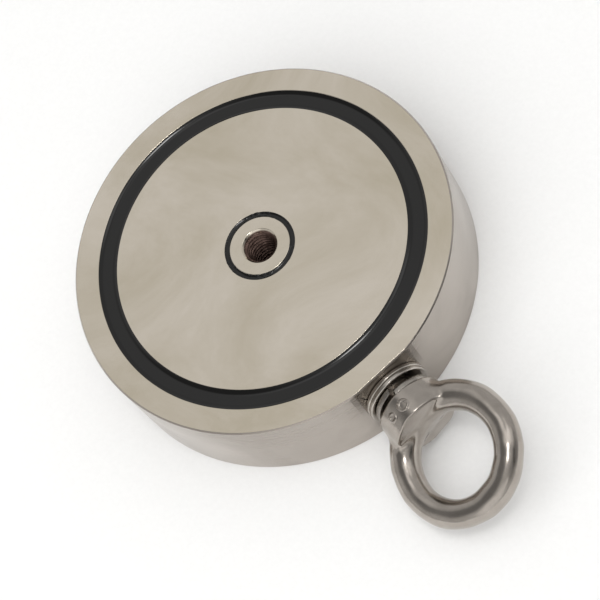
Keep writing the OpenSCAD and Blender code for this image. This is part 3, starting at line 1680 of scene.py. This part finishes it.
@dataclass
class EyeBolt:
    """The lifting eye bolt: forged ring and collar, and the threaded shank."""

    ring_centre: float
    height: float
    collar_low: float
    ring_turn: float
    shank_end: float
    hole: float = 12.2 * MM
    stock: float = 4.15 * MM
    swell: float = 0.7 * MM
    swell_bearing: float = math.radians(50)
    collar: float = 10.5 * MM
    wall: float = 8.5 * MM
    wall_top_edge: float = 1.1 * MM
    wall_low_edge: float = 0.7 * MM
    throat: float = 1.7 * MM
    flare: float = 0.13
    bore_edge: float = 0.35 * MM
    bore_to: float = -5.0 * MM
    shank: float = 4.95 * MM
    shank_columns: int = 96
    thread_depth: float = 0.87 * MM
    lead_in: float = 1.2 * MM
    runout: float = 7.5 * MM
    thread_flat: float = 0.05 * MM
    net_step: float = 0.3 * MM
    net_margin: float = 0.6 * MM
    marks: tuple[tuple[float, float, float], ...] = (
        (-15.0, 4.0 * MM, 1.1 * MM),
        (11.0, 4.1 * MM, 1.45 * MM),
    )
    mark_width: float = 0.3 * MM
    mark_fillet: float = 0.15 * MM
    hammer_seed: int = 5
    hammer_waves_mm: tuple[float, ...] = (19, 13, 9, 7, 5.5, 4.5)
    hammer_share: float = 0.0035

    @classmethod
    def from_frame(cls) -> "EyeBolt":
        """Reads the sizes from the CAD nodes and the mount of the eye.

        Returns:
            The eye bolt.
        """
        play = 0.05 * MM
        eye = mount("eye")
        axis = eye["axis"]
        return cls(
            ring_centre=eye["pos_m"][0],
            height=eye["pos_m"][2],
            collar_low=float(node_box("spring_washer")[1][0]) + play,
            ring_turn=math.atan2(-axis[1], axis[2]),
            shank_end=float(node_box("eye_bolt")[0][0]),
        )

    def distance(self, points: np.ndarray) -> np.ndarray:
        """Distance to the forging, in the ring's own frame.

        Args:
            points: along the bolt, across the ring and along the ring's axis, from its centre.

        Returns:
            The distance, negative inside the steel.
        """
        s, v, n = points[..., 0], points[..., 1], points[..., 2]
        spread = np.hypot(s, v)
        bearing = np.arctan2(np.abs(v), -s)
        swell = self.swell * np.exp(-((bearing / self.swell_bearing) ** 2))
        ring = np.hypot(spread - self.hole - self.stock - swell, n) - self.stock - swell
        base = self.collar_low - self.ring_centre
        reach = np.hypot(v, n)
        collar = smooth_max(reach - self.collar, s - base - self.wall, self.wall_top_edge)
        collar = smooth_max(collar, base - s, self.wall_low_edge)
        bore = (self.hole + self.flare * np.abs(n) - spread) / math.hypot(1.0, self.flare)
        bore = bore - np.maximum(s - self.bore_to, 0.0)
        forged = smooth_max(smooth_min(ring, collar, self.throat), bore, self.bore_edge)
        forged = smooth_min(forged, self._marks(s, v, n, base), self.mark_fillet)
        return forged + self._hammered(points)

    def _marks(
        self, s: np.ndarray, v: np.ndarray, n: np.ndarray, base: float
    ) -> np.ndarray:
        """Distance to two plain raised rings on the collar.

        Args:
            s: along the bolt.
            v: across the ring.
            n: along the ring's axis.
            base: where the collar starts along the bolt.

        Returns:
            The distance to the nearest ring.
        """
        reach = np.hypot(v, n)
        around = np.arctan2(v, n) * self.collar
        nearest = np.full(s.shape, 1.0)
        for turn, rise, size in self.marks:
            off = np.hypot(s - base - rise, around - math.radians(turn) * self.collar)
            line = np.hypot(off - size, reach - self.collar) - self.mark_width
            nearest = np.minimum(nearest, line)
        return nearest

    def _hammered(self, points: np.ndarray) -> np.ndarray:
        """Low, uneven swells that forging and tumbling leave.

        Args:
            points: places in the ring's own frame.

        Returns:
            The height to take off at each place.
        """
        draw = np.random.default_rng(self.hammer_seed)
        total = np.zeros(points.shape[:-1])
        for length in self.hammer_waves_mm:
            way = draw.normal(size=3)
            way *= math.tau / (length * MM) / np.linalg.norm(way)
            swell = self.hammer_share * MM * length
            total += swell * np.sin(points @ way + draw.uniform(0, math.tau))
        return total

    def build(self, finish: TumbledStainless) -> list[bpy.types.Object]:
        """Builds and dresses the forging and the shank.

        Args:
            finish: their finish.

        Returns:
            The two pieces.
        """
        material = finish.make()
        forging = self._forging()
        settle(forging, material, Body.EYE_BOLT, Slot.BOLT, ["eye_bolt"])
        shank = self._shank()
        settle(shank, material, Body.EYE_BOLT, Slot.BOLT, ["eye_bolt"])
        return [forging, shank]

    def _forging(self) -> bpy.types.Object:
        """Builds the ring and collar.

        Returns:
            The piece.
        """
        outer = self.hole + 2 * self.stock + self.net_margin
        start = self.collar_low - self.ring_centre - self.net_margin
        low = np.array([start, -outer, -self.collar - MM])
        high = np.array([outer, outer, self.collar + MM])
        skin = SurfaceNet(self.distance, low, high, self.net_step).mesh()
        cos, sin = math.cos(self.ring_turn), math.sin(self.ring_turn)
        place = np.eye(4)
        place[:3, :3] = [[1, 0, 0], [0, cos, -sin], [0, sin, cos]]
        place[:3, 3] = [self.ring_centre, 0, self.height]
        return skin.moved(place).to_piece("eye_bolt_forging")

    def _shank(self) -> bpy.types.Object:
        """Builds the threaded shank, with its chamfered end and the runout under the collar.

        Returns:
            The piece.
        """
        root = self.shank - self.thread_depth
        thread = Thread(crest=self.shank, root=root)
        length = self.collar_low - self.shank_end
        angle = np.arange(self.shank_columns) * math.tau / self.shank_columns
        sunk = 1.0 * MM
        heights = np.arange(0.0, length + sunk, thread.pitch / ROWS_PER_PITCH)
        rows = []
        for z in heights:
            cone = self.shank - self.lead_in + z
            runout = root + max(z - (length - self.runout), 0.0)
            r = thread.radius(angle, np.full_like(angle, z))
            r = np.minimum(np.maximum(r, min(runout, self.shank - self.thread_flat)), cone)
            rows.append(np.stack([r * np.cos(angle), r * np.sin(angle), np.full_like(angle, z)], -1))
        skin = Skin()
        first = skin.add_grid(np.stack(rows), round_rows=False, round_columns=True)
        count = len(angle)
        skin.add_face(list(reversed(range(first, first + count))))
        skin.add_face(range(first + (len(rows) - 1) * count, first + len(rows) * count))
        return skin.moved(along_bolt(self.shank_end, self.height)).to_piece(
            "eye_bolt_shank", math.radians(75)
        )


@dataclass
class HiddenStack:
    """The ring magnets and adhesive films, which keep their CAD meshes."""

    def dress(self) -> None:
        """Gives the hidden CAD nodes their finishes."""
        plating = SinteredPlating("magnet_plating").make()
        film = CuredAdhesive("adhesive_film").make()
        for face in Face:
            for part, material in (
                ("magnet", plating), ("magnet_bond", film), ("plate_bond", film)
            ):
                node = frame["nodes"][f"{face.prefix}_{part}"]
                for slot in node.material_slots:
                    slot.material = material
                LOG.info("%s: kept as it is, with a new finish", node.name)


# ---------------------------------------------------------------- studio


def heading(azimuth_deg: float, elevation_deg: float) -> Vector:
    """Gives the unit vector of a direction.

    Args:
        azimuth_deg: angle from +X towards +Y.
        elevation_deg: angle above the floor.

    Returns:
        The vector.
    """
    a, e = math.radians(azimuth_deg), math.radians(elevation_deg)
    return Vector((math.cos(a) * math.cos(e), math.sin(a) * math.cos(e), math.sin(e)))


@dataclass(frozen=True)
class SoftPanel:
    """A soft patch of light or shade on the studio's tent."""

    azimuth_deg: float
    elevation_deg: float
    core_deg: float
    fade_deg: float
    change: float

    def direction(self) -> Vector:
        """Unit vector from the magnet to the patch."""
        return heading(self.azimuth_deg, self.elevation_deg)


@dataclass
class Studio:
    """Floor, tent, fill light and camera."""

    floor_height: float
    floor_radius: float = 4.0
    floor_sides: int = 96
    tent_level: float = 0.60
    tent_tint: Colour = (1.0, 0.995, 0.985)
    panels: tuple[SoftPanel, ...] = (
        SoftPanel(8, 78, 2, 7, 12.0),
        SoftPanel(10, 77, 3, 14, 0.9),
        SoftPanel(-165, 80, 2, 16, 0.55),
        SoftPanel(70, 66, 3, 14, 0.8),
        SoftPanel(60, 46, 4, 16, 0.35),
        SoftPanel(179, 61, 10, 22, 0.12),
        SoftPanel(-35, 22, 12, 32, 0.40),
        SoftPanel(-5, 34, 3, 9, 0.6),
        SoftPanel(-100, 54, 12, 34, -0.38),
        SoftPanel(-150, 48, 4, 18, -0.12),
        SoftPanel(18, 32, 8, 24, -0.24),
        SoftPanel(46, 25, 12, 26, -0.32),
    )
    fill_azimuth_deg: float = -62.0
    fill_elevation_deg: float = 62.0
    fill_reach: float = 1.7
    fill_side: float = 2.2
    fill_power: float = 22.5
    aim: tuple[float, float, float] = (0.0144, -0.0019, 0.0)
    distance: float = 0.6877
    azimuth_deg: float = -3.52
    elevation_deg: float = 59.69
    roll_deg: float = -39.53
    lens_mm: float = 141.8
    sensor_mm: float = 36.0
    clip_start: float = 10.0 * MM

    def build(self) -> None:
        """Sets up the floor, the lights and the camera."""
        self._floor()
        self._tent()
        self._fill()
        self._camera()

    def _floor(self) -> None:
        """Lays a wide round floor that the magnet lies on."""
        mesh = bpy.data.meshes.new("studio_floor")
        reach = self.floor_radius
        around = np.arange(self.floor_sides) * math.tau / self.floor_sides
        rim = [(reach * math.cos(a), reach * math.sin(a), self.floor_height) for a in around]
        mesh.from_pydata(rim, [], [list(range(len(rim)))])
        mesh.materials.append(StudioPaper().make())
        floor = bpy.data.objects.new("studio_floor", mesh)
        bpy.context.scene.collection.objects.link(floor)

    def _tent(self) -> None:
        """Lights the scene by a tent of even light with soft brighter and darker patches."""
        world = bpy.data.worlds.new("studio_tent")
        bpy.context.scene.world = world
        world.use_nodes = True
        tree = world.node_tree
        tree.nodes.clear()
        place = tree.nodes.new("ShaderNodeTexCoord").outputs["Generated"]
        total: bpy.types.NodeSocket | None = None
        for panel in self.panels:
            aim = tree.nodes.new("ShaderNodeVectorMath")
            aim.operation = "DOT_PRODUCT"
            tree.links.new(place, aim.inputs[0])
            aim.inputs[1].default_value = panel.direction()
            fade = tree.nodes.new("ShaderNodeMapRange")
            fade.interpolation_type = "SMOOTHSTEP"
            fade.inputs["From Min"].default_value = math.cos(math.radians(panel.fade_deg))
            fade.inputs["From Max"].default_value = math.cos(math.radians(panel.core_deg))
            fade.inputs["To Max"].default_value = panel.change
            tree.links.new(aim.outputs["Value"], fade.inputs["Value"])
            step = tree.nodes.new("ShaderNodeMath")
            step.operation = "ADD"
            tree.links.new(fade.outputs[0], step.inputs[0])
            if total is None:
                step.inputs[1].default_value = self.tent_level
            else:
                tree.links.new(total, step.inputs[1])
            total = step.outputs[0]
        back = tree.nodes.new("ShaderNodeBackground")
        back.inputs["Color"].default_value = (*self.tent_tint, 1.0)
        tree.links.new(total, back.inputs["Strength"])
        out = tree.nodes.new("ShaderNodeOutputWorld")
        tree.links.new(back.outputs[0], out.inputs[0])

    def _fill(self) -> None:
        """Hangs a wide fill light, which brightens the floor and isn't mirrored in the metal."""
        lamp = bpy.data.lights.new("studio_fill", "AREA")
        lamp.shape = "SQUARE"
        lamp.size = self.fill_side
        lamp.energy = self.fill_power
        piece = bpy.data.objects.new("studio_fill", lamp)
        way = heading(self.fill_azimuth_deg, self.fill_elevation_deg)
        piece.location = way * self.fill_reach
        piece.rotation_euler = way.to_track_quat("Z", "Y").to_euler()
        piece.visible_glossy = False
        bpy.context.scene.collection.objects.link(piece)

    def _camera(self) -> None:
        """Sets the camera on its line of sight and rolls it about that line."""
        lens = bpy.data.cameras.new("studio_camera")
        lens.lens = self.lens_mm
        lens.sensor_width = self.sensor_mm
        lens.clip_start = self.clip_start
        camera = bpy.data.objects.new("studio_camera", lens)
        bpy.context.scene.collection.objects.link(camera)
        back = heading(self.azimuth_deg, self.elevation_deg)
        level = heading(self.azimuth_deg + 90.0, 0.0)
        up = back.cross(level)
        turn = Matrix((level, up, back)).transposed().to_4x4()
        camera.matrix_world = (
            Matrix.Translation(Vector(self.aim) + back * self.distance)
            @ turn
            @ Matrix.Rotation(math.radians(self.roll_deg), 4, "Z")
        )
        bpy.context.scene.camera = camera
        bpy.context.scene.view_settings.view_transform = "Standard"


def main() -> None:
    """Builds the studio and every sub-assembly, in order."""
    logging.basicConfig(level=logging.INFO, format="%(name)s: %(message)s")
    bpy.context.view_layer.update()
    casing = Casing.from_frame()
    Studio(floor_height=-casing.half).build()
    casing.build(TurnedNickel("casing_nickel"))
    CentreBush.from_frame().build(TappedNickel("bush_nickel"))
    for face in Face:
        PolePlate.from_frame(face).build(NickelPlate(f"{face.prefix}_plate_nickel"))
        PouredRing.around_plate(face).build(PouredEpoxy(f"{face.prefix}_ring_epoxy"))
        PouredRing.around_bush(face).build(PouredEpoxy(f"{face.prefix}_hub_epoxy"))
    HiddenStack().dress()
    Washers.from_frame().build(RolledSteel("washer_steel"), SpringSteel("spring_steel"))
    EyeBolt.from_frame().build(TumbledStainless("bolt_stainless"))


if __name__ == "__main__":
    main()
